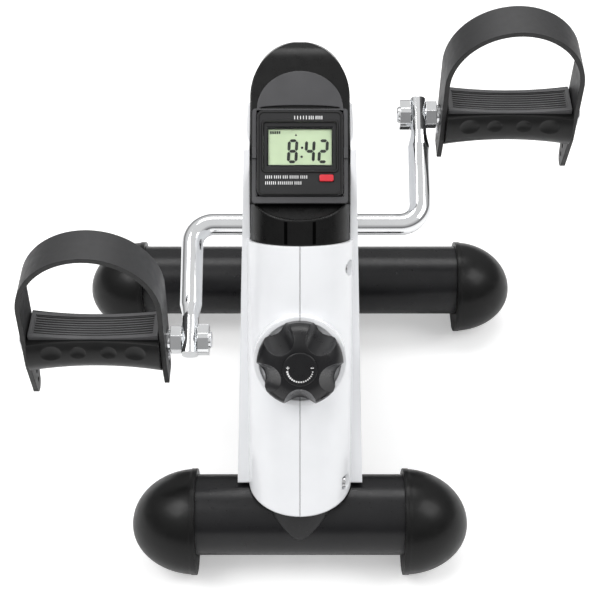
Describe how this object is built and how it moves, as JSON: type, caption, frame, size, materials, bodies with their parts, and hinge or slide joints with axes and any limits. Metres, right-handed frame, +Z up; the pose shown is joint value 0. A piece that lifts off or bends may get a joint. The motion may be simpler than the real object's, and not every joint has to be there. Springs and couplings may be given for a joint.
{
  "type": "pedal exerciser",
  "caption": "Free-standing pedal exerciser: round floor bars with foot caps, a white leaning housing with a display, a brake knob and a chrome crank with strapped pedals.",
  "frame": {"origin": "on the floor, midway between the two floor bars and under the middle of the bent crank bar, 5 mm right of the housing's middle plane", "axes": "+X to the sitter's right along the crank's axis, +Y away from the sitter, +Z up"},
  "size_m": [0.4106, 0.3406, 0.3516],
  "materials": {
    "black_steel": "satin powder coat",
    "black_cap": "satin moulded",
    "white_shell": "gloss",
    "hood_black": "satin gloss",
    "console_grey": "fine texture",
    "lcd": "reflective display",
    "lens": "clear",
    "board": "solder mask",
    "cell": "plain",
    "red_button": "gloss",
    "chrome_bar": "polished",
    "bearing_steel": "ground",
    "plate_steel": "zinc",
    "drum_iron": "turned rim",
    "band_felt": "woven friction band",
    "pedal_plastic": "satin moulded",
    "pad_grey": "ribbed",
    "strap_rubber": "smooth",
    "nylon": "natural",
    "knob_black": "satin gloss",
    "cable_black": "smooth"
  },
  "bodies": {
    "root": {"front_stabilizer": "black_steel", "rear_stabilizer": "black_steel", "main_beam": "black_steel", "front_left_foot_cap": "black_cap", "front_right_foot_cap": "black_cap", "rear_left_foot_cap": "black_cap", "rear_right_foot_cap": "black_cap", "stabilizer_bolts": "bearing_steel", "stabilizer_washers": "bearing_steel", "bearing_outer_races": "bearing_steel", "plate_spacers": "bearing_steel", "band_anchor_pin": "bearing_steel", "shell_screws": "bearing_steel", "tension_spring": "bearing_steel", "left_bearing_plate": "plate_steel", "right_bearing_plate": "plate_steel", "tension_bracket": "plate_steel", "brake_band": "band_felt", "left_shell": "white_shell", "right_shell": "white_shell", "top_hood": "hood_black", "hood_collar": "hood_black", "console_visor": "console_grey", "module_case": "console_grey", "battery_door": "console_grey", "reed_sensor": "console_grey", "lcd_panel": "lcd", "lcd_lens": "lens", "circuit_board": "board", "battery": "cell", "sensor_cable": "cable_black"},
    "crank": {"crank_shaft": "chrome_bar", "bearing_inner_races": "bearing_steel", "bearing_balls": "bearing_steel", "shaft_collars": "bearing_steel", "brake_drum": "drum_iron", "drum_pin": "bearing_steel", "sensor_magnet": "bearing_steel", "left_spindle": "chrome_bar", "right_spindle": "chrome_bar", "left_spindle_nut": "chrome_bar", "right_spindle_nut": "chrome_bar", "left_spindle_cap": "chrome_bar", "right_spindle_cap": "chrome_bar"},
    "left_pedal": {"left_pedal_body": "pedal_plastic", "left_pedal_pad": "pad_grey", "left_pedal_strap": "strap_rubber", "left_pedal_bushes": "nylon", "left_strap_rivets": "bearing_steel"},
    "right_pedal": {"right_pedal_body": "pedal_plastic", "right_pedal_pad": "pad_grey", "right_pedal_strap": "strap_rubber", "right_pedal_bushes": "nylon", "right_strap_rivets": "bearing_steel"},
    "knob": {"tension_knob": "knob_black", "knob_cap": "knob_black", "tension_screw": "bearing_steel"},
    "nut": {"tension_nut": "bearing_steel"},
    "button": {"mode_button": "red_button"}
  },
  "joints": [
    {"name": "crank_spin", "type": "hinge", "parent": "root", "child": "crank", "pos_m": [0, 0.0025, 0.2165], "axis": [1, 0, 0], "continuous": true},
    {"name": "left_pedal_spin", "type": "hinge", "parent": "crank", "child": "left_pedal", "pos_m": [-0.15075, -0.07371, 0.1725], "axis": [1, 0, 0], "continuous": true},
    {"name": "right_pedal_spin", "type": "hinge", "parent": "crank", "child": "right_pedal", "pos_m": [0.15075, 0.07871, 0.2605], "axis": [1, 0, 0], "continuous": true},
    {"name": "knob_turn", "type": "hinge", "parent": "root", "child": "knob", "pos_m": [-0.005, -0.10191, 0.181], "axis": [0, 0.8746, -0.4848], "range_deg": [0, 2160]},
    {"name": "nut_slide", "type": "slide", "parent": "root", "child": "nut", "axis": [0, -0.8746, 0.4848], "range_m": [0, 0.0061], "deforming": ["tension_spring"]},
    {"name": "button_press", "type": "slide", "parent": "root", "child": "button", "axis": [0, 0.6428, -0.766], "range_m": [0, 0.0008], "stiffness_N_per_m": 300}
  ],
  "couplings": [
    {"joint": "nut_slide", "follows": "knob_turn", "m_per_rad": 0.00015915}
  ]
}
